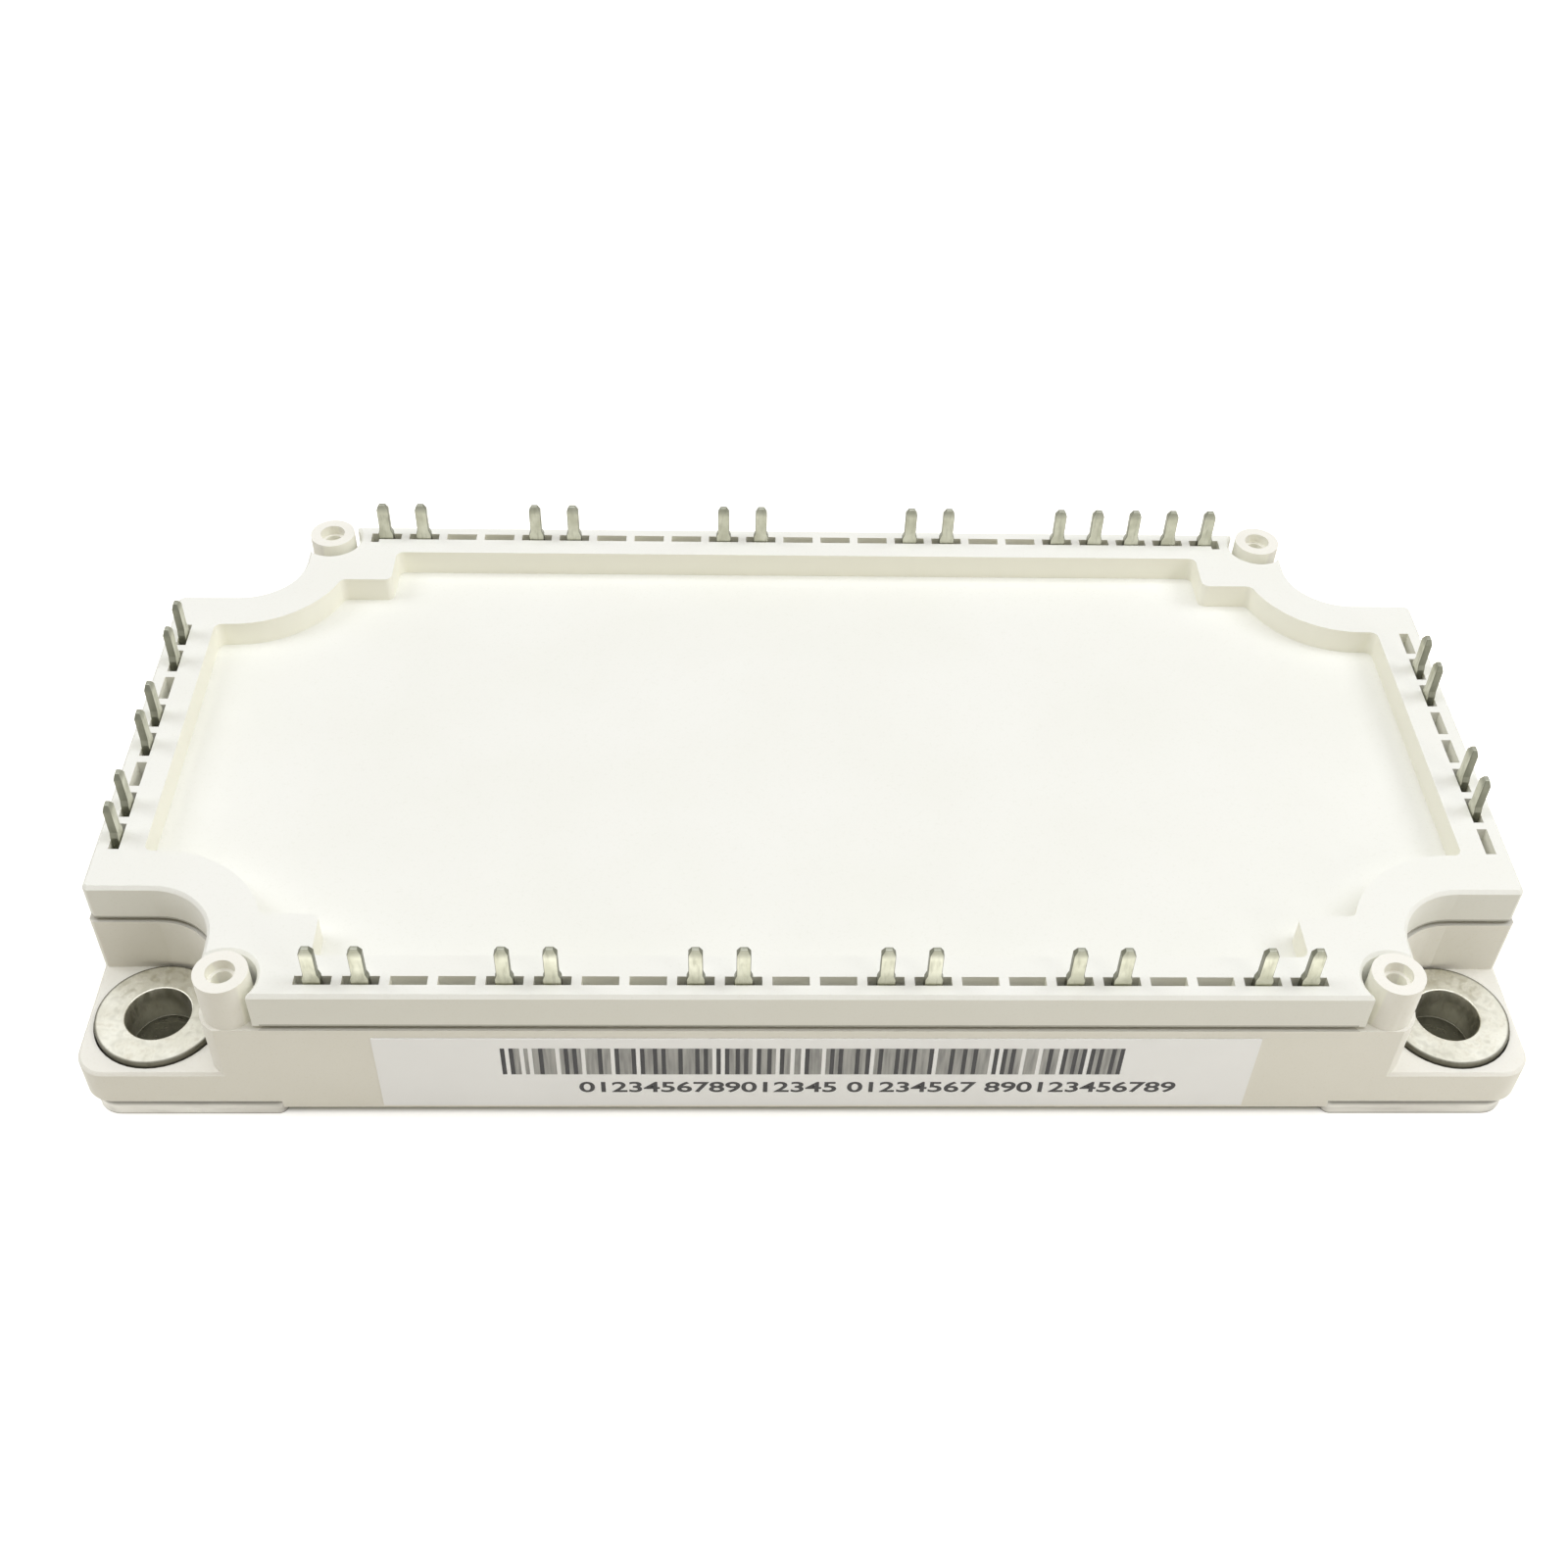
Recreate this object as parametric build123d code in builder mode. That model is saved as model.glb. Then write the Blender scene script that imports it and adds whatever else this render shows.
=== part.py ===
# Power rectifier module: base plate, moulded frame, press-in pins, slotted lid and sealed power circuit.
# Millimetres, +Z up, +X along the long side, origin at the centre of the base plate's underside.
import os

from build123d import *

os.makedirs("parts", exist_ok=True)

# Pin grid, seen from above with the labelled long side in front
pin_pitch = 3.81
front_slots = 22
back_slots = 23
side_slots = 8
front_pins = (0, 1, 4, 5, 8, 9, 12, 13, 16, 17, 20, 21)
back_pins = (0, 1, 4, 5, 9, 10, 14, 15, 18, 19, 20, 21, 22)
left_pins = (0, 1, 3, 4, 6, 7)
right_pins = (1, 2, 5, 6)

# Plan sizes, from the middle outwards
row_spacing = 58.2
row_to_face = 1.9
row_end_to_standoff = 5.34
standoff_to_hole_x = 7.75
standoff_to_hole_y = 3.75
standoff_to_row = 0.35
hole_to_side_row = 4.055

# Heights above the underside of the base plate
base_thickness = 3.0
skirt_height = 1.7
seam_height = 2.5
flange_height = 6.2
shelf_height = 6.2
collar_height = 6.7
gel_height = 9.4
parting_height = 12.05
rim_height = 16.1
standoff_height = 16.7
pin_height = 20.1

# Base plate
hole_diameter = 5.5
plate_inset = 0.5
plate_corner = 2.2
ear_length = 16.7
waist_depth = 1.2
ear_end_radius = 0.8

# Frame walls
flange_corner = 2.6
collar_wall = 2.5
collar_gap = 0.15
notch_gap = 0.1
row_wall = 3.9
plain_wall = 1.8
column_radius = 2.5
column_top_radius = 2.2
screw_hole_radius = 0.9
screw_hole_depth = 9.0
lead_in_radius = 1.2
lead_in_depth = 1.0
notch_corner = 0.4
plate_clearance = 0.1
adhesive_thickness = 0.15
adhesive_width = 1.6
frame_edge = 0.25

# Lid
lid_step = 0.2
lid_seat_inset = 1.1
parting_gap = 0.35
column_gap = 0.25
column_relief = 2.2
rim_width = 4.3
tray_depth = 2.6
lid_thickness = 1.5
spigot_clearance = 0.15
tray_corner = 0.7
lid_edge = 0.3
slot_length = 3.0
slot_width = 0.9
key_length = 0.8
key_depth = 0.5
tray_step = 6.7

# Pins
pin_width = 1.15
pin_root_width = 1.5
pin_thickness = 0.7
pin_root_top = 0.5
pin_taper = 0.5
pin_tip_length = 0.55
pin_tip_width = 0.6
pin_tip_bevel = 0.16
pin_groove_gap = 0.05
pin_bend = 0.6
shelf_depth = 5.6
landing_margin = 0.5

# Power circuit
substrate_count = 3
substrate_clearance = 0.8
substrate_gap = 0.8
well_margin = 0.85
well_step = 0.5
foil_thickness = 0.3
ceramic_thickness = 0.6
track_inset = 0.8
track_gap = 0.8
pin_track_depth = 4.4
chip_thickness = 0.25
transistor_size = 8.0
freewheel_size = 6.2
rectifier_size = 6.8
rectifier_rows = 4
bridge_rows = 3
chip_pitch_rectifier = 8.2
chip_pitch_bridge = 10.8
ribbon_width = 2.0
ribbon_thickness = 0.2
thermistor_length = 2.4
thermistor_width = 1.3
thermistor_height = 0.8

# Sticker on the front wall
label_length = 72.6
label_height = 9.0
label_thickness = 0.12
label_shift = 0.5
label_bottom = 2.1

# Places worked out from the sizes above
pin_row_y = row_spacing / 2
front_y = pin_row_y + row_to_face
standoff_x = (back_slots - 1) / 2 * pin_pitch + row_end_to_standoff
standoff_y = pin_row_y - standoff_to_row
hole_x = standoff_x + standoff_to_hole_x
hole_y = standoff_y - standoff_to_hole_y
side_row_x = hole_x + hole_to_side_row
side_x = side_row_x + row_to_face
hole_radius = hole_diameter / 2
collar_radius = hole_radius + collar_wall
bore_radius = collar_radius + collar_gap
notch_radius = bore_radius + notch_gap
plate_x = side_x - plate_inset
plate_y = front_y - plate_inset
frame_seat = base_thickness + adhesive_thickness
lid_seat = parting_height + parting_gap
well_x = standoff_x - well_margin
well_y = pin_row_y - shelf_depth
foil_top = base_thickness + foil_thickness
ceramic_top = foil_top + ceramic_thickness
track_top = ceramic_top + foil_thickness
chip_top = track_top + chip_thickness
field_length = 2 * (well_x - substrate_clearance)
substrate_width = 2 * (well_y - substrate_clearance)
track_half_x = field_length / 2 - track_inset
track_half_y = substrate_width / 2 - track_inset
arm_top = shelf_height + pin_thickness
key_x = (back_slots - 1) / 2 * pin_pitch + (slot_length - key_length) / 2
key_reach = slot_width / 2 + key_depth


def wall_outline(inset, corner):
    # Outline of the tall part, notched round each mounting hole, drawn back evenly by inset
    with BuildSketch() as outline:
        Rectangle(2 * (side_x - inset), 2 * (hole_y - notch_radius - inset))
        Rectangle(2 * hole_x, 2 * hole_y)
        Rectangle(2 * (hole_x - notch_radius - inset), 2 * standoff_y)
        Rectangle(2 * standoff_x, 2 * (front_y - inset))
        with GridLocations(2 * hole_x, 2 * hole_y, 2, 2):
            Circle(notch_radius + inset, mode=Mode.SUBTRACT)
        if corner:
            side_ends = outline.vertices().group_by(Axis.X)
            chamfer(side_ends[0] + side_ends[-1], corner)
    return outline.sketch


def room_outline(inset):
    # Room inside the tall walls, stepped in at the corners to clear the notches and the columns
    with BuildSketch() as outline:
        Rectangle(2 * (side_x - row_wall - inset), 2 * (hole_y - notch_radius - plain_wall - inset))
        Rectangle(2 * (well_x + well_step - inset), 2 * (well_y + well_step - inset))
        Rectangle(2 * (standoff_x - column_radius - plain_wall - inset), 2 * (front_y - row_wall - inset))
    return outline.sketch


def plate_outline(clearance):
    # Base plate with full corners and a drawn-in waist on each side
    half_x = plate_x + clearance
    half_y = plate_y + clearance
    with BuildSketch() as outline:
        RectangleRounded(2 * half_x, 2 * half_y, plate_corner)
        with Locations((0, half_y), (0, -half_y)):
            Rectangle(2 * (side_x - ear_length - clearance), 2 * waist_depth, mode=Mode.SUBTRACT)
        with Locations((half_x, 0), (-half_x, 0)):
            Rectangle(2 * waist_depth, 2 * (front_y - ear_length - clearance), mode=Mode.SUBTRACT)
    return outline.sketch


def row_places(slots, used, middle, turn):
    # One place for each used slot of a row; local +X runs along the row, local +Y points inwards
    row = Location(middle, (0, 0, turn))
    return [row * Location(((i - (slots - 1) / 2) * pin_pitch, 0, 0)) for i in used]


# Slots are counted from the left on the long sides, and from the back on the short sides
front_middle = (0, -pin_row_y, 0)
back_middle = (0, pin_row_y, 0)
left_middle = (-side_row_x, 0, 0)
right_middle = (side_row_x, 0, 0)
back_turned = [back_slots - 1 - i for i in back_pins]
right_turned = [side_slots - 1 - i for i in right_pins]
pin_places = {
    "front": row_places(front_slots, front_pins, front_middle, 0),
    "back": row_places(back_slots, back_turned, back_middle, 180),
    "left": row_places(side_slots, left_pins, left_middle, -90),
    "right": row_places(side_slots, right_turned, right_middle, 90),
}
slot_places = (
    row_places(front_slots, range(front_slots), front_middle, 0)
    + row_places(back_slots, range(back_slots), back_middle, 180)
    + row_places(side_slots, range(side_slots), left_middle, -90)
    + row_places(side_slots, range(side_slots), right_middle, 90)
)
all_pins = [place for places in pin_places.values() for place in places]

# Base plate: punched copper with an ear at each corner
with BuildPart() as baseplate:
    with BuildSketch():
        add(plate_outline(0))
    extrude(amount=base_thickness)
    upright = baseplate.edges().filter_by(Axis.Z)
    long_ends = upright.filter_by_position(Axis.X, -hole_x + ear_length / 2, hole_x - ear_length / 2)
    ear_corners = [e for e in long_ends if abs(e.center().Y) > plate_y - waist_depth / 2]
    fillet(ear_corners, ear_end_radius)
    with GridLocations(2 * hole_x, 2 * hole_y, 2, 2):
        Hole(hole_radius)
baseplate.part.label = "baseplate"
export_step(baseplate.part, "parts/baseplate.step")

# Metal collars that carry the clamping force of the mounting screws down to the base plate
collar_names = ("front_left", "front_right", "back_left", "back_right")
collar_centres = [(sx * hole_x, sy * hole_y) for sy in (-1, 1) for sx in (-1, 1)]
for name, centre in zip(collar_names, collar_centres):
    with BuildPart() as collar:
        with BuildSketch(Plane.XY.offset(base_thickness)):
            with Locations(centre):
                Circle(collar_radius)
                Circle(hole_radius, mode=Mode.SUBTRACT)
        extrude(amount=collar_height - base_thickness)
    collar.part.label = f"mounting_collar_{name}"
    export_step(collar.part, f"parts/mounting_collar_{name}.step")

# Frame: corner flanges, skirts over the plate's waists, tall walls and four stand-off columns
with BuildPart() as housing_frame:
    with BuildSketch(Plane.XY.offset(seam_height)):
        RectangleRounded(2 * side_x, 2 * front_y, flange_corner)
    extrude(amount=flange_height - seam_height)
    flange_top = housing_frame.faces().sort_by(Axis.Z)[-1]
    chamfer(flange_top.outer_wire().edges(), frame_edge)
    with BuildSketch(Plane.XY.offset(skirt_height)):
        Rectangle(2 * (side_x - ear_length), 2 * front_y)
        Rectangle(2 * side_x, 2 * (front_y - ear_length))
    extrude(amount=seam_height - skirt_height)
    with BuildSketch(Plane.XY.offset(seam_height)):
        add(wall_outline(0, notch_corner))
        with GridLocations(2 * standoff_x, 2 * standoff_y, 2, 2):
            Circle(column_radius)
        Rectangle(2 * side_x, 2 * front_y, mode=Mode.INTERSECT)
    extrude(amount=parting_height - seam_height)
    # Raised seat for the lid, set back so that a parting groove runs all round
    with BuildSketch(Plane.XY.offset(parting_height)):
        add(wall_outline(lid_seat_inset, 0))
        with GridLocations(2 * standoff_x, 2 * standoff_y, 2, 2):
            Rectangle(2 * (column_radius + column_gap), 2 * (column_radius + column_gap), mode=Mode.SUBTRACT)
    extrude(amount=parting_gap)
    with BuildSketch(Plane.XY.offset(seam_height)):
        with GridLocations(2 * standoff_x, 2 * standoff_y, 2, 2):
            Circle(column_top_radius)
        Rectangle(2 * side_x, 2 * front_y, mode=Mode.INTERSECT)
    extrude(amount=standoff_height - seam_height)
    with BuildSketch(Plane.XY.offset(shelf_height)):
        add(room_outline(0))
    extrude(amount=lid_seat - shelf_height, mode=Mode.SUBTRACT)
    with BuildSketch(Plane.XY.offset(frame_seat)):
        Rectangle(2 * well_x, 2 * well_y)
    extrude(amount=shelf_height - frame_seat, mode=Mode.SUBTRACT)
    with BuildSketch():
        add(plate_outline(plate_clearance))
    extrude(amount=frame_seat, mode=Mode.SUBTRACT)
    with BuildSketch():
        with GridLocations(2 * hole_x, 2 * hole_y, 2, 2):
            Circle(bore_radius)
    extrude(amount=collar_height, mode=Mode.SUBTRACT)
    with Locations(Plane.XY.offset(standoff_height)):
        with GridLocations(2 * standoff_x, 2 * standoff_y, 2, 2):
            CounterBoreHole(screw_hole_radius, lead_in_radius, lead_in_depth, screw_hole_depth)
    # Comb grooves that hold the pins, open towards the room
    groove_out = pin_thickness / 2 + pin_groove_gap
    groove_in = row_wall - row_to_face + pin_groove_gap
    with BuildSketch(Plane.XY.offset(shelf_height)):
        with Locations(*all_pins):
            with Locations((0, (groove_in - groove_out) / 2)):
                Rectangle(pin_root_width + 2 * pin_groove_gap, groove_in + groove_out)
    extrude(amount=lid_seat - shelf_height, mode=Mode.SUBTRACT)
housing_frame.part.label = "housing_frame"
export_step(housing_frame.part, "parts/housing_frame.step")

# Lid: a slotted rim round a sunk panel, with a spigot that drops into the frame
with BuildPart() as lid:
    with BuildSketch(Plane.XY.offset(lid_seat)):
        add(wall_outline(lid_step, notch_corner))
        with GridLocations(2 * standoff_x, 2 * standoff_y, 2, 2):
            Circle(column_radius + column_gap, mode=Mode.SUBTRACT)
        # Flat ends of the long rims, beside the open front of each column
        with GridLocations(2 * standoff_x, 2 * front_y, 2, 2):
            Rectangle(2 * column_relief, 2 * (front_y - standoff_y), mode=Mode.SUBTRACT)
    extrude(amount=rim_height - lid_seat)
    with BuildSketch(Plane.XY.offset(rim_height)) as tray:
        Rectangle(2 * (side_x - lid_step - rim_width), 2 * (hole_y - notch_radius - lid_step - rim_width))
        Rectangle(2 * hole_x, 2 * (standoff_y - tray_step))
        Rectangle(2 * (standoff_x - tray_step), 2 * (front_y - lid_step - rim_width))
        with GridLocations(2 * hole_x, 2 * hole_y, 2, 2):
            Circle(notch_radius + lid_step + rim_width, mode=Mode.SUBTRACT)
        tray_corners = [v for v in tray.vertices() if abs(abs(v.X) - hole_x) > tray_corner]
        fillet(tray_corners, tray_corner)
    extrude(amount=-tray_depth, mode=Mode.SUBTRACT)
    rim_top = lid.faces().sort_by(Axis.Z)[-1]
    chamfer(rim_top.outer_wire().edges(), lid_edge)
    with BuildSketch(Plane.XY.offset(rim_height - tray_depth - lid_thickness)):
        add(room_outline(spigot_clearance))
    extrude(amount=lid_seat - (rim_height - tray_depth - lid_thickness))
    with BuildSketch(Plane.XY.offset(rim_height)):
        with Locations(*slot_places):
            Rectangle(slot_length, slot_width)
        # Key notches inside the outer ends of the back row
        with Locations((-key_x, pin_row_y - key_reach / 2), (key_x, pin_row_y - key_reach / 2)):
            Rectangle(key_length, key_reach)
    extrude(amount=lid_seat - rim_height, mode=Mode.SUBTRACT)
lid.part.label = "lid"
export_step(lid.part, "parts/lid.step")


def pin_blank(reach):
    # Stamped pin: a blade with a shouldered root, an arm along the shelf and a leg down to its track
    half_thickness = pin_thickness / 2
    shoulder = rim_height + pin_root_top
    with BuildPart() as blank:
        with BuildSketch(Plane.YZ):
            with BuildLine():
                Polyline(
                    (-half_thickness, shelf_height + pin_bend),
                    (-half_thickness, pin_height - pin_tip_length),
                    (-half_thickness + pin_tip_bevel, pin_height),
                    (half_thickness - pin_tip_bevel, pin_height),
                    (half_thickness, pin_height - pin_tip_length),
                    (half_thickness, arm_top),
                    (reach, arm_top),
                    (reach, track_top),
                    (reach - pin_thickness, track_top),
                    (reach - pin_thickness, shelf_height),
                    (-half_thickness + pin_bend, shelf_height),
                    close=True,
                )
            make_face()
        extrude(amount=pin_root_width / 2, both=True)
        with BuildSketch(Plane.XZ):
            with BuildLine():
                half_root = pin_root_width / 2
                half_width = pin_width / 2
                half_tip = pin_tip_width / 2
                Polyline(
                    (-half_root, track_top),
                    (-half_root, shoulder),
                    (-half_width, shoulder + pin_taper),
                    (-half_width, pin_height - pin_tip_length),
                    (-half_tip, pin_height),
                    (half_tip, pin_height),
                    (half_width, pin_height - pin_tip_length),
                    (half_width, shoulder + pin_taper),
                    (half_root, shoulder),
                    (half_root, track_top),
                    close=True,
                )
            make_face()
        extrude(amount=reach + pin_thickness, both=True, mode=Mode.INTERSECT)
    return blank.part


# Contact pins: short arms along the long sides, long arms from the short sides in to the tracks
short_arm = pin_blank(pin_row_y - track_half_y + landing_margin + pin_thickness)
long_arm = pin_blank(side_row_x - track_half_x + landing_margin + pin_thickness)
pin_blanks = {"front": short_arm, "back": short_arm, "left": long_arm, "right": long_arm}
placed_pins = []
for row, places in pin_places.items():
    for number, place in enumerate(places, start=1):
        with BuildPart() as pin:
            with Locations(place):
                add(pin_blanks[row])
        pin.part.label = f"pin_{row}_{number:02d}"
        export_step(pin.part, f"parts/{pin.part.label}.step")
        placed_pins.append(pin.part)

# Substrates: ceramic tiles with copper foil soldered to the plate and copper tracks on top
substrate_length = (field_length - (substrate_count - 1) * substrate_gap) / substrate_count
substrate_pitch = substrate_length + substrate_gap
substrate_centres = [(i - (substrate_count - 1) / 2) * substrate_pitch for i in range(substrate_count)]
track_length = (substrate_length - 2 * track_inset - track_gap) / 2
chip_track_width = 2 * (track_half_y - pin_track_depth - track_gap)
island_shift = (track_length + track_gap) / 2
sealed = []
for number, middle in enumerate(substrate_centres, start=1):
    with BuildPart() as foil:
        with BuildSketch(Plane.XY.offset(base_thickness)):
            with Locations((middle, 0)):
                Rectangle(substrate_length - 2 * track_inset, substrate_width - 2 * track_inset)
        extrude(amount=foil_thickness)
    foil.part.label = f"back_foil_{number}"
    with BuildPart() as tile:
        with BuildSketch(Plane.XY.offset(foil_top)):
            with Locations((middle, 0)):
                Rectangle(substrate_length, substrate_width)
        extrude(amount=ceramic_thickness)
    tile.part.label = f"ceramic_tile_{number}"
    with BuildPart() as tracks:
        with BuildSketch(Plane.XY.offset(ceramic_top)):
            with Locations((middle, 0)):
                with GridLocations(2 * island_shift, 2 * track_half_y - pin_track_depth, 2, 2):
                    Rectangle(track_length, pin_track_depth)
                with GridLocations(2 * island_shift, 0, 2, 1):
                    Rectangle(track_length, chip_track_width)
        extrude(amount=foil_thickness)
    tracks.part.label = f"copper_tracks_{number}"
    for piece in (foil, tile, tracks):
        export_step(piece.part, f"parts/{piece.part.label}.step")
        sealed.append(piece.part)


def chip_group(label, size, places):
    # Flat silicon chips soldered to the tracks, one square for each place
    with BuildPart() as chips:
        with BuildSketch(Plane.XY.offset(track_top)):
            with Locations(*places):
                Rectangle(size, size)
        extrude(amount=chip_thickness)
    chips.part.label = label
    export_step(chips.part, f"parts/{label}.step")
    sealed.append(chips.part)


# The first tile carries the rectifier bridge and the brake chopper, the others the inverter bridge
rectifier_tile = substrate_centres[0]
bridge_tiles = substrate_centres[1:]
rectifier_y = [(i - (rectifier_rows - 1) / 2) * chip_pitch_rectifier for i in range(rectifier_rows)]
bridge_y = [(i - (bridge_rows - 1) / 2) * chip_pitch_bridge for i in range(bridge_rows)]
rectifier_places = [(rectifier_tile + side * island_shift, y) for y in rectifier_y[1:] for side in (-1, 1)]
transistor_places = [(tile_x - island_shift, y) for tile_x in bridge_tiles for y in bridge_y]
freewheel_places = [(tile_x + island_shift, y) for tile_x in bridge_tiles for y in bridge_y]
brake_y = rectifier_y[0]
transistor_places.append((rectifier_tile - island_shift, brake_y - (transistor_size - rectifier_size) / 2))
freewheel_places.append((rectifier_tile + island_shift, brake_y))
chip_group("rectifier_diodes", rectifier_size, rectifier_places)
chip_group("transistor_chips", transistor_size, transistor_places)
chip_group("freewheel_diodes", freewheel_size, freewheel_places)

# Thermistor across the gap between two pin tracks of the last tile
with BuildPart() as thermistor:
    with BuildSketch(Plane.XY.offset(track_top)):
        with Locations((substrate_centres[-1], -(track_half_y - pin_track_depth + thermistor_width))):
            Rectangle(thermistor_length, thermistor_width)
    extrude(amount=thermistor_height)
thermistor.part.label = "thermistor"
export_step(thermistor.part, "parts/thermistor.step")
sealed.append(thermistor.part)


# Flat aluminium ribbons from chip to chip over the gap between their tracks
chip_rows = [(rectifier_tile, y) for y in rectifier_y]
chip_rows += [(tile_x, y) for tile_x in bridge_tiles for y in bridge_y]
with BuildPart() as bond_ribbons:
    with BuildSketch(Plane.XY.offset(chip_top)):
        with Locations(*chip_rows):
            Rectangle(2 * island_shift, ribbon_width)
    extrude(amount=ribbon_thickness)
bond_ribbons.part.label = "bond_ribbons"
export_step(bond_ribbons.part, "parts/bond_ribbons.step")
sealed.append(bond_ribbons.part)

# Soft silicone gel that fills the well and covers the circuit, cut round all it encloses
with BuildPart() as silicone_gel:
    with BuildSketch(Plane.XY.offset(base_thickness)):
        Rectangle(2 * well_x, 2 * well_y)
    extrude(amount=shelf_height - base_thickness)
    with BuildSketch(Plane.XY.offset(shelf_height)):
        add(room_outline(0))
    extrude(amount=gel_height - shelf_height)
    add(sealed + placed_pins, mode=Mode.SUBTRACT)
silicone_gel.part.label = "silicone_gel"
export_step(silicone_gel.part, "parts/silicone_gel.step")

# Bead of adhesive between the frame and the base plate, round the well
with BuildPart() as frame_adhesive:
    with BuildSketch(Plane.XY.offset(base_thickness)):
        Rectangle(2 * (well_x + adhesive_width), 2 * (well_y + adhesive_width))
        Rectangle(2 * well_x, 2 * well_y, mode=Mode.SUBTRACT)
    extrude(amount=adhesive_thickness)
frame_adhesive.part.label = "frame_adhesive"
export_step(frame_adhesive.part, "parts/frame_adhesive.step")

# Sticker on the front wall
with BuildPart() as side_label:
    with BuildSketch(Plane.XZ.offset(front_y)):
        with Locations((label_shift, label_bottom + label_height / 2)):
            Rectangle(label_length, label_height)
    extrude(amount=label_thickness)
side_label.part.label = "side_label"
export_step(side_label.part, "parts/side_label.step")

print("size", 2 * side_x, 2 * front_y, pin_height, "holes", 2 * hole_x, 2 * hole_y)
print("stand-offs", 2 * standoff_x, 2 * standoff_y, "pins", len(placed_pins))
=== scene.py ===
import math
import random

import bmesh
import bpy
from mathutils import Matrix, Vector


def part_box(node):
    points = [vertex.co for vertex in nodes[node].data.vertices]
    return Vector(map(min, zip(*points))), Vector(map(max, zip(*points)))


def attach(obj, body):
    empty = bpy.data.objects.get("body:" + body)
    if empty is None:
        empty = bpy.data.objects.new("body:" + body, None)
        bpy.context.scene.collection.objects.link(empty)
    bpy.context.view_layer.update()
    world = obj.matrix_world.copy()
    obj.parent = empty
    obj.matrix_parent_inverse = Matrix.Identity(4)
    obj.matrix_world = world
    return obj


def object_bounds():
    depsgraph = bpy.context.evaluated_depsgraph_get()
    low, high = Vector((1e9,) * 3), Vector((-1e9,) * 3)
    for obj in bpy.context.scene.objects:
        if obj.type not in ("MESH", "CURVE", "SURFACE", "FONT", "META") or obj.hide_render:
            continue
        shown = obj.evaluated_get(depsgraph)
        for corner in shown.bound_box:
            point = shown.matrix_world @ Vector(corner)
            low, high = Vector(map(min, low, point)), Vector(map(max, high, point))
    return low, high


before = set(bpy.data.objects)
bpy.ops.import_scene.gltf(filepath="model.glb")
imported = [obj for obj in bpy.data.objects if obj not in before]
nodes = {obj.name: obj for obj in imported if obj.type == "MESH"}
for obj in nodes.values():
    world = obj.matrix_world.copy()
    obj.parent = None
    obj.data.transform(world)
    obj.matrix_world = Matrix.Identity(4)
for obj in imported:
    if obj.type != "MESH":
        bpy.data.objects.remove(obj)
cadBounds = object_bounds()
mm = 0.001  # the frame is in metres, sizes below are in millimetres


# Small tools for materials
def linear(hexCode):
    # sRGB hex to the linear colour that the shaders work in
    channels = [int(hexCode[i:i + 2], 16) / 255 for i in (1, 3, 5)]
    return [c / 12.92 if c <= 0.04045 else ((c + 0.055) / 1.055) ** 2.4 for c in channels] + [1.0]


def addNode(tree, kind, settings=None, links=None):
    # adds one node, sets its own options or its sockets, and links what feeds it
    node = tree.nodes.new(kind)
    for key, value in (settings or {}).items():
        if isinstance(key, str) and hasattr(node, key):
            setattr(node, key, value)
        else:
            node.inputs[key].default_value = value
    for key, source in (links or {}).items():
        tree.links.new(source, node.inputs[key])
    return node


def newMaterial(name, settings):
    # a material with one Principled shader, and the place that its surface patterns follow
    material = bpy.data.materials.new(name)
    material.use_nodes = True
    tree = material.node_tree
    shader = tree.nodes["Principled BSDF"]
    for key, value in settings.items():
        shader.inputs[key].default_value = value
    place = addNode(tree, "ShaderNodeTexCoord").outputs["Object"]
    return material, tree, shader, place


def grain(tree, place, sizeMm, detail, stretch=(1, 1, 1)):
    # noise whose lumps are about sizeMm across, drawn out along an axis by a stretch under 1
    scaled = addNode(tree, "ShaderNodeMapping", {"Scale": stretch}, {"Vector": place})
    noise = addNode(tree, "ShaderNodeTexNoise", {"Scale": 1 / (sizeMm * mm), "Detail": detail},
                    {"Vector": scaled.outputs["Vector"]})
    return noise.outputs["Fac"]


def spread(tree, value, low, high, fromLow=0.35, fromHigh=0.65):
    # runs from low to high over part of the value's range: by default the middle, where noise keeps
    return addNode(tree, "ShaderNodeMapRange",
                   {"From Min": fromLow, "From Max": fromHigh, "To Min": low, "To Max": high},
                   {"Value": value}).outputs["Result"]


def allOf(tree, *shares):
    # a share that holds only where each of the given ones does
    whole = shares[0]
    for share in shares[1:]:
        whole = addNode(tree, "ShaderNodeMath", {"operation": "MULTIPLY"}, {0: whole, 1: share}).outputs[0]
    return whole


def blendColours(tree, factor, first, second):
    # a colour between two, each a hex code or a socket
    node = addNode(tree, "ShaderNodeMix", {"data_type": "RGBA"}, {"Factor": factor})
    for socket, colour in ((node.inputs[6], first), (node.inputs[7], second)):
        if isinstance(colour, str):
            socket.default_value = linear(colour)
        else:
            tree.links.new(colour, socket)
    return node.outputs[2]


def relief(tree, height, depthMm, below=None):
    # bump of a real depth, laid over another one where below is given
    links = {"Height": height}
    if below:
        links["Normal"] = below
    node = addNode(tree, "ShaderNodeBump", {"Distance": depthMm * mm, "Strength": 1.0}, links)
    return node.outputs["Normal"]


def outFrom(tree, place, corner):
    # how far a point lies outside the nearest of the module's four corners, which are alike
    folded = addNode(tree, "ShaderNodeVectorMath", {"operation": "ABSOLUTE"}, {0: place})
    offset = addNode(tree, "ShaderNodeVectorMath", {"operation": "SUBTRACT", 1: corner},
                     {0: folded.outputs[0]})
    return offset.outputs[0]


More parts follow.
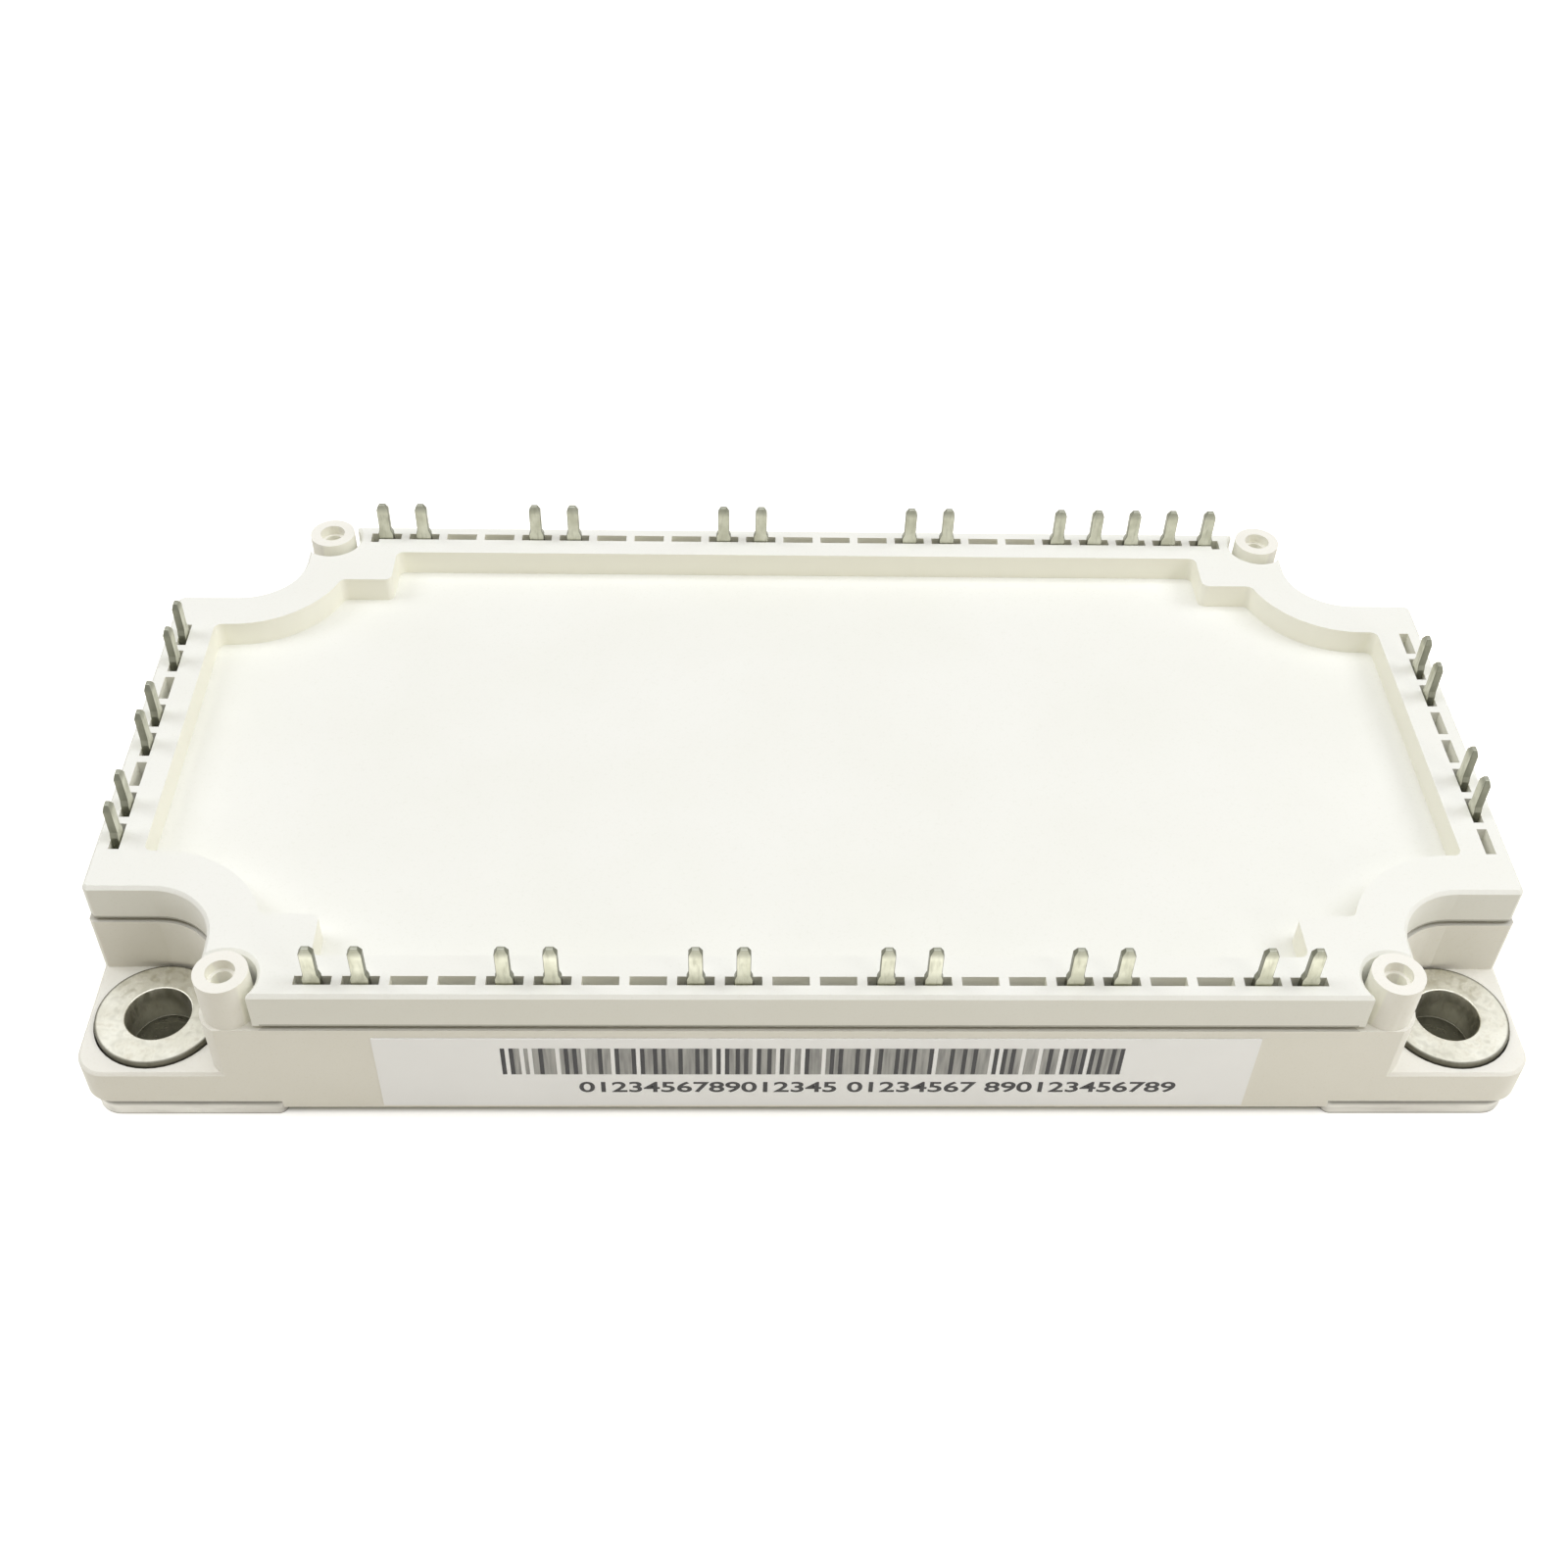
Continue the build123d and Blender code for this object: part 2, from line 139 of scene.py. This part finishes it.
def flatLength(tree, offset):
    # length of an offset as seen from above
    flat = addNode(tree, "ShaderNodeVectorMath", {"operation": "MULTIPLY", 1: (1, 1, 0)}, {0: offset})
    length = addNode(tree, "ShaderNodeVectorMath", {"operation": "LENGTH"}, {0: flat.outputs[0]})
    return length.outputs["Value"]


def fromAxis(tree, place, corner):
    # distance of a point from the nearest of four upright middle lines, one at each corner
    return flatLength(tree, outFrom(tree, place, corner))


# Glass-filled PBT, moulded in a spark-eroded tool: an even ivory with a dry, faintly grained sheen
plastic = {
    "roughness": 0.54, "smoother": 0.05, "rougher": 0.07,
    "refraction": 1.54,
    "sheen": 0.3,         # a dry, glass-filled surface gives back little white at a low angle
    "grainMm": 0.16,      # finer on the real part, drawn as coarse as the render can show
    "grainDepthMm": 0.006,
    "waveMm": 9.0,        # slow sink of the skin over thick and thin walls
    "waveDepthMm": 0.02,
    "cloudMm": 14.0,
    "speckMm": 0.22, "speckShare": 0.35,
    # painted light on the walls that face the tray
    "trayPaintedLight": "#FDFCEF",
    "trayFrom": 12, "trayTo": 4,  # how far a wall that faces inwards lies from the middle
    # painted shade in the groove between frame and lid
    "grooveShadeTone": "#6E6A57", "grooveShadeShare": 0.52,
    "grooveFrom": 12.03, "grooveTo": 12.62, "grooveFade": 0.04,
    "columnAt": (47.25, 28.75), "columnClear": 3.4,
}


def trayPaintedLightShare(tree, place, look):
    # painted light: 1 on upright walls that face the middle of the module, which the bright tray lights
    # again
    flat = addNode(tree, "ShaderNodeVectorMath", {"operation": "MULTIPLY", 1: (1, 1, 0)},
                   {0: addNode(tree, "ShaderNodeTexCoord").outputs["Normal"]})
    outward = addNode(tree, "ShaderNodeVectorMath", {"operation": "DOT_PRODUCT"},
                      {0: flat.outputs["Vector"], 1: place})
    return spread(tree, outward.outputs["Value"], 1.0, 0.0,
                  -look["trayFrom"] * mm, -look["trayTo"] * mm)


def grooveShadeShare(tree, place, look):
    # painted shade in the groove between frame and lid, which ends short of the screw columns
    low, high, fade, clear = (
        look[key] * mm for key in ("grooveFrom", "grooveTo", "grooveFade", "columnClear"))
    height = addNode(tree, "ShaderNodeSeparateXYZ", None, {"Vector": place}).outputs["Z"]
    column = fromAxis(tree, place, [side * mm for side in look["columnAt"]] + [0])
    above = spread(tree, height, 0.0, look["grooveShadeShare"], low, low + fade)
    below = spread(tree, height, 1.0, 0.0, high - fade, high)
    away = spread(tree, column, 0.0, 1.0, clear, clear + fade)
    return allOf(tree, above, below, away)


def mouldedPlastic(name, body, cloud, speck):
    material, tree, shader, place = newMaterial(name, {
        "Roughness": plastic["roughness"],
        "IOR": plastic["refraction"],
        "Specular IOR Level": plastic["sheen"],
    })
    clouds = spread(tree, grain(tree, place, plastic["cloudMm"], detail=3.0), 0.0, 1.0)
    specks = spread(tree, grain(tree, place, plastic["speckMm"], detail=1.0), 0.0, plastic["speckShare"],
                    fromLow=0.58, fromHigh=0.75)
    colour = blendColours(tree, clouds, body, cloud)
    colour = blendColours(tree, specks, colour, speck)
    colour = blendColours(tree, trayPaintedLightShare(tree, place, plastic), colour, plastic["trayPaintedLight"])
    colour = blendColours(tree, grooveShadeShare(tree, place, plastic), colour, plastic["grooveShadeTone"])
    tree.links.new(colour, shader.inputs["Base Color"])
    wave = relief(tree, grain(tree, place, plastic["waveMm"], detail=1.0), plastic["waveDepthMm"])
    skin = relief(tree, grain(tree, place, plastic["grainMm"], detail=2.0), plastic["grainDepthMm"], wave)
    tree.links.new(skin, shader.inputs["Normal"])
    dull = spread(tree, grain(tree, place, plastic["grainMm"] * 3, detail=3.0),
                  plastic["roughness"] - plastic["smoother"], plastic["roughness"] + plastic["rougher"])
    tree.links.new(dull, shader.inputs["Roughness"])
    return material


def plateShades(tree, place, look):
    # painted shade on the plate: at the top of the edge under the frame, in a line along the foot of the
    # edge, and in the screw hole
    height = addNode(tree, "ShaderNodeSeparateXYZ", None, {"Vector": place}).outputs["Z"]
    seam = spread(tree, height, 0.0, look["seamShadeShare"], look["seamFrom"] * mm, look["seamTo"] * mm)
    above = spread(tree, height, 0.0, 1.0, look["faceFrom"] * mm, look["faceTo"] * mm)
    below = spread(tree, height, look["footShadeShare"], 0.0, look["footFrom"] * mm, look["footTo"] * mm)
    foot = allOf(tree, above, below)
    radius = fromAxis(tree, place, look["holeAt"])
    hole = spread(tree, radius, look["boreShadeShare"], 0.0, look["boreFrom"] * mm, look["boreTo"] * mm)
    return [(look["plateShadeTone"], seam), (look["plateShadeTone"], foot), (look["boreShadeTone"], hole)]


def collarShades(tree, place, look):
    # painted shade on the side and on the outer edge of the face, as in the gap round the collar
    radius = fromAxis(tree, place, look["holeAt"])
    side = spread(tree, radius, 0.0, look["sideShadeShare"], look["sideFrom"] * mm, look["sideTo"] * mm)
    return [(look["sideShadeTone"], side)]


def bladeShades(tree, place, look):
    # painted shade on the faces of a blade that face along its width, and towards its point
    facing = addNode(tree, "ShaderNodeVectorMath", {"operation": "DOT_PRODUCT", 1: look["across"]},
                     {0: addNode(tree, "ShaderNodeTexCoord").outputs["Normal"]})
    turned = addNode(tree, "ShaderNodeMath", {"operation": "ABSOLUTE"}, {0: facing.outputs["Value"]})
    edge = spread(tree, turned.outputs[0], 0.0, look["edgeShadeShare"], look["edgeFrom"], look["edgeTo"])
    height = addNode(tree, "ShaderNodeSeparateXYZ", None, {"Vector": place}).outputs["Z"]
    tip = spread(tree, height, 0.0, look["tipShadeShare"], look["tipFrom"] * mm, look["tipTo"] * mm)
    return [(look["edgeShadeTone"], edge), (look["edgeShadeTone"], tip)]


def platedMetal(name, look, tones):
    # metal under a thin electroplated coat: colour drifts slowly, fine marks break up the shine
    material, tree, shader, place = newMaterial(name, {"Metallic": 1.0, "Roughness": look["roughness"]})
    clouds = spread(tree, grain(tree, place, look["cloudMm"], detail=4.0), 0.0, 1.0)
    colour = blendColours(tree, clouds, look["bright"], look["dull"])
    marks = grain(tree, place, look["markMm"], detail=4.0, stretch=look["markStretch"])
    worn = spread(tree, marks, 0.0, look["markShare"], fromLow=0.52, fromHigh=0.7)
    colour = blendColours(tree, worn, colour, look["stain"])
    # the piece's painted shade is laid over its colour here
    for tone, share in tones(tree, place, look):
        colour = blendColours(tree, share, colour, tone)
    tree.links.new(colour, shader.inputs["Base Color"])
    rough = spread(tree, marks, look["roughness"] - metalWear["polished"],
                   look["roughness"] + metalWear["scuffed"])
    tree.links.new(rough, shader.inputs["Roughness"])
    tree.links.new(relief(tree, marks, look["markDepthMm"]), shader.inputs["Normal"])
    return material


collarLow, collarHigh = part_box(next(name for name in nodes if name.startswith("mounting_collar")))
collarRadius = (collarHigh.x - collarLow.x) / 2 / mm
pinTop = max(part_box(name)[1].z for name in nodes if name.startswith("pin_")) / mm
holeAt = [abs(a + b) / 2 for a, b in zip(collarLow, collarHigh)]
holeRadius = 2.75  # of the screw holes in plate and collars

# How far wear takes the roughness of a metal down and up
metalWear = {"polished": 0.08, "scuffed": 0.12}
# Nickel-plated copper sheet, rolled: bright and slightly warm, with a faint grain along its length
plateLook = {
    "bright": "#C8C6BF", "dull": "#B8B5AE", "stain": "#918E88", "roughness": 0.34, "cloudMm": 9.0,
    "markMm": 0.5, "markStretch": (0.12, 1, 1), "markShare": 0.25, "markDepthMm": 0.002,
    # painted shade in the screw hole, which also dulls the rounded rim of the hole
    "boreShadeTone": "#A3A194", "boreShadeShare": 0.8, "boreFrom": holeRadius + 0.3, "boreTo": holeRadius + 0.35,
    "holeAt": holeAt,
    # painted shade at the top of the edge under the frame and in a line along its foot
    "plateShadeTone": "#4C4A42", "seamShadeShare": 0.8, "seamFrom": 1.15, "seamTo": 1.6,
    "footShadeShare": 0.6, "footFrom": 0.12, "footTo": 0.26,
    "faceFrom": 0.01, "faceTo": 0.03,  # below this height lies the underside, which stays bright
}
# Nickel-plated brass, turned: a warm satin silver with scuffs from washers, and painted shade on its side
# and outer edge
collarLook = {
    "bright": "#D8D6C9", "dull": "#CBC8B9", "stain": "#9E9686", "roughness": 0.38, "cloudMm": 2.2,
    "markMm": 0.7, "markStretch": (1, 1, 0.4), "markShare": 0.4, "markDepthMm": 0.003,
    # painted shade on the side and the outer edge of the face
    "sideShadeTone": "#4E4B3E", "sideShadeShare": 0.9, "sideFrom": collarRadius - 0.26, "sideTo": collarRadius - 0.1,
    "holeAt": holeAt,
}
# Tin-plated copper strip, stamped: dull, a little beige, streaked along the blade, with painted shade on
# its narrow sides and towards its tip
pinLook = {
    "bright": "#D5D5C5", "dull": "#BFBFAD", "stain": "#949483", "roughness": 0.36, "cloudMm": 1.6,
    "markMm": 0.35, "markStretch": (1, 1, 0.2), "markShare": 0.35, "markDepthMm": 0.003,
    # painted shade on the blade's narrow sides and towards its tip
    "edgeShadeTone": "#6F7062", "edgeShadeShare": 0.85,
    "edgeFrom": 0.3, "edgeTo": 0.6,  # how far a face is turned along the blade's width, from 0 to 1
    "tipShadeShare": 0.6, "tipFrom": pinTop - 0.9, "tipTo": pinTop - 0.3,
}
# Polyester label film: an even cool white with a soft gloss
filmLook = {
    "white": "#FCFDFF", "shade": "#F9FAFC", "roughness": 0.38, "refraction": 1.57,
    "cloudMm": 6.0, "waveMm": 4.0, "waveDepthMm": 0.012,
}
# Thermal-transfer ribbon: a thin black wax, not quite closed over the film, streaked along the bars
inkLook = {"roughness": 0.5, "refraction": 1.45, "stretch": (1, 1, 0.08)}


def printedFilm(look):
    material, tree, shader, place = newMaterial(
        "polyester label film", {"Roughness": look["roughness"], "IOR": look["refraction"]})
    clouds = spread(tree, grain(tree, place, look["cloudMm"], detail=2.0), 0.0, 1.0)
    tree.links.new(blendColours(tree, clouds, look["white"], look["shade"]), shader.inputs["Base Color"])
    wave = relief(tree, grain(tree, place, look["waveMm"], detail=1.0), look["waveDepthMm"])
    tree.links.new(wave, shader.inputs["Normal"])
    return material


def ribbonInk(name, look, dark, light, streakMm):
    material, tree, shader, place = newMaterial(
        name, {"Roughness": look["roughness"], "IOR": look["refraction"]})
    thin = spread(tree, grain(tree, place, streakMm, detail=3.0, stretch=look["stretch"]), 0.0, 1.0)
    tree.links.new(blendColours(tree, thin, dark, light), shader.inputs["Base Color"])
    return material


def sealedFinish(name, first, second, sizeMm, settings):
    # finish of a piece that lies sealed inside: its own two tones and gloss
    material, tree, shader, place = newMaterial(name, settings)
    tones = spread(tree, grain(tree, place, sizeMm, detail=3.0), 0.0, 1.0)
    tree.links.new(blendColours(tree, tones, first, second), shader.inputs["Base Color"])
    return material


finishes = {
    "housing_frame": mouldedPlastic("glass-filled PBT, frame", "#F3F1E9", "#F0EEE5", "#E8E5D8"),
    "lid": mouldedPlastic("glass-filled PBT, lid", "#F1F1EB", "#EFEFE8", "#E7E7DE"),
    "baseplate": platedMetal("nickel-plated copper", plateLook, plateShades),
    "mounting_collar": platedMetal("nickel-plated brass", collarLook, collarShades),
    "pin_front": platedMetal("tin-plated copper, long rows", dict(pinLook, across=(1, 0, 0)), bladeShades),
    "pin_left": platedMetal("tin-plated copper, short rows", dict(pinLook, across=(0, 1, 0)), bladeShades),
    "side_label": printedFilm(filmLook),
    "back_foil": sealedFinish("copper foil", "#C98A63", "#B87850", 2.0,
                              {"Metallic": 1.0, "Roughness": 0.35}),
    "copper_tracks": sealedFinish("etched copper", "#D0906A", "#BC7C55", 2.0,
                                  {"Metallic": 1.0, "Roughness": 0.3}),
    "ceramic_tile": sealedFinish("alumina ceramic", "#EFEEEA", "#E6E5DF", 0.4,
                                 {"Roughness": 0.55, "IOR": 1.76}),
    "rectifier_diodes": sealedFinish("polished silicon", "#3B3C44", "#30313A", 3.0,
                                     {"Roughness": 0.12, "IOR": 3.4}),
    "thermistor": sealedFinish("thermistor ceramic", "#4A5A66", "#3E4C57", 0.5, {"Roughness": 0.5}),
    "bond_ribbons": sealedFinish("soft aluminium", "#D6D7D9", "#C4C5C8", 0.8,
                                 {"Metallic": 1.0, "Roughness": 0.25}),
    "silicone_gel": sealedFinish("silicone gel", "#DDE2DE", "#D3D9D4", 8.0,
                                 {"Roughness": 0.15, "IOR": 1.41}),
    "frame_adhesive": sealedFinish("silicone adhesive", "#D8D5C9", "#CCC9BB", 1.5, {"Roughness": 0.6}),
}
finishes["transistor_chips"] = finishes["freewheel_diodes"] = finishes["rectifier_diodes"]
finishes["pin_back"] = finishes["pin_front"]
finishes["pin_right"] = finishes["pin_left"]
for name, node in nodes.items():
    start = next(key for key in finishes if name.startswith(key))
    node.data.materials.clear()
    node.data.materials.append(finishes[start])
print("finishes set on", len(nodes), "pieces")

# Rounding that the mould, the punch and the lathe leave on the edges
edgeRounds = {
    "housing_frame": {"widthMm": 0.3, "segments": 3},
    "lid": {"widthMm": 0.25, "segments": 3},
    "baseplate": {"widthMm": 0.08, "segments": 2},
    "mounting_collar": {"widthMm": 0.1, "segments": 2},
    "pin_": {"widthMm": 0.08, "segments": 2},
}
# Which points are one, which faces are one flat face, and which edges are sharp enough to round
edgeRule = {"weldMm": 0.002, "flatDegrees": 0.5, "sharpDegrees": 35}


def roundEdges(node, look):
    weld = node.modifiers.new("weld", "WELD")
    weld.merge_threshold = edgeRule["weldMm"] * mm
    flat = node.modifiers.new("flat faces", "DECIMATE")
    flat.decimate_type = "DISSOLVE"
    flat.angle_limit = math.radians(edgeRule["flatDegrees"])
    bevel = node.modifiers.new("rounded edges", "BEVEL")
    bevel.width = look["widthMm"] * mm
    bevel.segments = look["segments"]
    bevel.limit_method = "ANGLE"
    bevel.angle_limit = math.radians(edgeRule["sharpDegrees"])
    bevel.use_clamp_overlap = True
    bevel.harden_normals = True


for name, node in nodes.items():
    for start, look in edgeRounds.items():
        if name.startswith(start):
            roundEdges(node, look)
print("edges rounded")

# Print on the sticker: plain bars and counting digits, as a thin layer of ink
labelPrint = {
    "inkMm": 0.012,
    "barsFrom": -25.5, "barsTo": 25.9, "barsBottom": 6.43, "barsTop": 9.9, "seed": 11,
    "boldBar": 0.36, "whiteGap": 0.34,
    "fineBand": 0.17, "bandSteps": (2, 3, 4, 6),  # bands of fine lines run together to grey
    "digits": "0123456789012345 01234567 890123456789",
    "digitsFrom": -19.3, "digitsTo": 30.7, "digitsBottom": 3.95, "digitsTop": 5.4,
    "digitStroke": 0.019,  # how much each stroke is fattened, in letter heights
}
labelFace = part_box("side_label")[0].y


def addMesh(name, mesh, materials):
    piece = bpy.data.objects.new(name, mesh)
    bpy.context.scene.collection.objects.link(piece)
    for material in materials:
        mesh.materials.append(material)
    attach(piece, "root")


def printBars(look, inks):
    # bold bars, bands of fine lines that close up to grey, and white gaps, in a seeded order
    order = random.Random(look["seed"])
    work = bmesh.new()

    def bar(x, wide, tone):
        size = Vector((wide, look["inkMm"], look["barsTop"] - look["barsBottom"])) * mm
        middle = Vector(((x + wide / 2) * mm, labelFace - size.y / 2,
                         (look["barsTop"] + look["barsBottom"]) / 2 * mm))
        made = bmesh.ops.create_cube(work, size=1.0, matrix=Matrix.LocRotScale(middle, None, size))
        for face in {face for corner in made["verts"] for face in corner.link_faces}:
            face.material_index = tone

    # what can follow each: b for a bold bar, f for a band of fine lines, g for a white gap
    follows = {"g": "bffb", "b": "fffg", "f": "bbbg"}
    x = look["barsFrom"]
    kind = "g"
    while x < look["barsTo"] - look["boldBar"]:
        kind = order.choice(follows[kind])
        if kind == "b":
            wide = look["boldBar"]
            bar(x, wide, 0)
        elif kind == "f":
            wide = min(order.choice(look["bandSteps"]) * look["fineBand"], look["barsTo"] - x)
            bar(x, wide, 1)
        else:
            wide = look["whiteGap"]
        x += wide
    mesh = bpy.data.meshes.new("label_bars")
    work.to_mesh(mesh)
    work.free()
    addMesh("label_bars", mesh, inks)


def printDigits(look, ink):
    letters = bpy.data.curves.new("label_digits", "FONT")
    letters.body = look["digits"]
    letters.extrude = look["inkMm"] * mm / 2
    letters.offset = look["digitStroke"]
    text = bpy.data.objects.new("label_digits_text", letters)
    bpy.context.scene.collection.objects.link(text)
    bpy.context.view_layer.update()
    mesh = bpy.data.meshes.new_from_object(text)
    bpy.data.objects.remove(text)
    low = [min(v.co[i] for v in mesh.vertices) for i in range(3)]
    high = [max(v.co[i] for v in mesh.vertices) for i in range(3)]
    wide = (look["digitsTo"] - look["digitsFrom"]) * mm / (high[0] - low[0])
    tall = (look["digitsTop"] - look["digitsBottom"]) * mm / (high[1] - low[1])
    thick = look["inkMm"] * mm / (high[2] - low[2])
    for vertex in mesh.vertices:
        x, y, z = vertex.co
        vertex.co = (look["digitsFrom"] * mm + (x - low[0]) * wide, labelFace - (z - low[2]) * thick,
                     look["digitsBottom"] * mm + (y - low[1]) * tall)
    mesh.update()
    addMesh("label_digits", mesh, [ink])


blackInk = ribbonInk("thermal transfer ink", inkLook, "#222123", "#343335", 0.2)
greyInk = ribbonInk("thermal transfer ink, fine lines", inkLook, "#8C8C8B", "#B2B2B0", 0.3)
printBars(labelPrint, [blackInk, greyInk])
printDigits(labelPrint, blackInk)
print("label printed")

# Floor and light
stage = {
    "floorMm": 4000, "floorColour": "#EAE8E0", "floorRoughness": 0.9, "floorGlow": 0.74,
    "dropMm": 0.05,  # keeps the floor just clear of the plate's flat underside
    # painted contact shadow on the floor under and along the plate
    "contactShadowColour": "#B5B3A5", "contactFrom": -0.8, "contactTo": 0.05, "plateCornerMm": 2.2,
    "skyColour": "#FFF1D2", "ambient": 0.25,
    "lamps": (
        # name, place, size, watts, colour: all face the middle of the module
        ("overhead softbox", (20, 40, 900), 650, 3.75, "#F2F6FF"),
        ("left softbox", (-430, 60, 480), 320, 1.22, "#F6F9FF"),
        ("right softbox", (450, 40, 480), 320, 1.38, "#F6F9FF"),
        ("right front key", (230, -250, 150), 140, 0.155, "#FFFDF8"),
    ),
}


def seenDirectly(tree):
    # 1 for what the camera, a reflection or a clear body shows, 0 for the light that falls on the object
    path = addNode(tree, "ShaderNodeLightPath")
    first = addNode(tree, "ShaderNodeMath", {"operation": "MAXIMUM"},
                    {0: path.outputs["Is Camera Ray"], 1: path.outputs["Is Glossy Ray"]})
    both = addNode(tree, "ShaderNodeMath", {"operation": "MAXIMUM"},
                   {0: first.outputs[0], 1: path.outputs["Is Transmission Ray"]})
    return both.outputs[0]


def clearOfPlate(tree, place, look):
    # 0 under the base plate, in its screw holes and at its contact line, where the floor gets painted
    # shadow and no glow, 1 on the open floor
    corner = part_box("baseplate")[1] - Vector((look["plateCornerMm"], look["plateCornerMm"], 0)) * mm
    beyond = outFrom(tree, place, (corner.x, corner.y, 0))
    outside = addNode(tree, "ShaderNodeVectorMath", {"operation": "MAXIMUM", 1: (0, 0, 0)}, {0: beyond})
    start, end = ((look["plateCornerMm"] + look[key]) * mm for key in ("contactFrom", "contactTo"))
    return addNode(tree, "ShaderNodeMapRange",
                   {"interpolation_type": "SMOOTHSTEP", "From Min": start, "From Max": end},
                   {"Value": flatLength(tree, outside.outputs[0])}).outputs["Result"]


def buildFloor(look):
    # a pale floor that is white where it is seen and still takes the shadow, with a painted contact shadow
    # under and along the plate
    mesh = bpy.data.meshes.new("floor")
    half, low = look["floorMm"] * mm / 2, -look["dropMm"] * mm
    mesh.from_pydata([(-half, -half, low), (half, -half, low), (half, half, low), (-half, half, low)],
                     [], [(0, 1, 2, 3)])
    floor = bpy.data.objects.new("floor", mesh)
    bpy.context.scene.collection.objects.link(floor)
    material, tree, shader, place = newMaterial(
        "pale floor", {"Roughness": look["floorRoughness"], "Emission Color": (1, 1, 1, 1)})
    clear = clearOfPlate(tree, place, look)
    tone = blendColours(tree, clear, look["contactShadowColour"], look["floorColour"])
    tree.links.new(tone, shader.inputs["Base Color"])
    strength = addNode(tree, "ShaderNodeMath", {"operation": "MULTIPLY", 1: look["floorGlow"]},
                       {0: allOf(tree, seenDirectly(tree), clear)})
    tree.links.new(strength.outputs[0], shader.inputs["Emission Strength"])
    mesh.materials.append(material)


def buildWorld(look):
    # plain white where it is seen, a dim warm light where it falls on the object
    world = bpy.data.worlds.new("studio")
    world.use_nodes = True
    tree = world.node_tree
    seen = seenDirectly(tree)
    background = tree.nodes["Background"]
    tree.links.new(blendColours(tree, seen, look["skyColour"], "#FFFFFF"), background.inputs["Color"])
    strength = addNode(tree, "ShaderNodeMapRange", {"To Min": look["ambient"], "To Max": 1.0},
                       {"Value": seen})
    tree.links.new(strength.outputs["Result"], background.inputs["Strength"])
    bpy.context.scene.world = world


def buildLamps(look):
    middle = (cadBounds[0] + cadBounds[1]) / 2
    for name, place, size, watts, colour in look["lamps"]:
        data = bpy.data.lights.new(name, "AREA")
        data.shape = "SQUARE"
        data.size = size * mm
        data.energy = watts
        data.color = linear(colour)[:3]
        lamp = bpy.data.objects.new(name, data)
        lamp.location = Vector(place) * mm
        lamp.rotation_euler = (middle - lamp.location).to_track_quat("-Z", "Y").to_euler()
        bpy.context.scene.collection.objects.link(lamp)


buildFloor(stage)
buildWorld(stage)
buildLamps(stage)
print("floor and light ready")

# Camera, as the photograph was taken
view = {
    "place": (-7.0, -123.6, 131.2), "azimuth": -2.41, "elevation": 44.49, "roll": 1.97,
    "focalPixels": 1887.4, "imageWidth": 1600, "sensorMm": 36.0, "nearMm": 10, "farMm": 10000,
}


def buildCamera(look):
    data = bpy.data.cameras.new("camera")
    data.sensor_width = look["sensorMm"]
    data.lens = look["focalPixels"] / look["imageWidth"] * look["sensorMm"]
    data.clip_start, data.clip_end = look["nearMm"] * mm, look["farMm"] * mm
    a, e, r = (math.radians(look[key]) for key in ("azimuth", "elevation", "roll"))
    back = Vector((math.sin(a) * math.cos(e), -math.cos(a) * math.cos(e), math.sin(e)))
    right = Vector((math.cos(a), math.sin(a), 0))
    up = back.cross(right)
    turned = math.cos(r) * right + math.sin(r) * up
    upright = math.cos(r) * up - math.sin(r) * right
    camera = bpy.data.objects.new("camera", data)
    camera.matrix_world = Matrix.Translation(Vector(look["place"]) * mm) @ Matrix(
        (turned, upright, back)).transposed().to_4x4()
    bpy.context.scene.collection.objects.link(camera)
    bpy.context.scene.camera = camera


buildCamera(view)
bpy.context.scene.view_settings.view_transform = "Standard"
print("camera set")
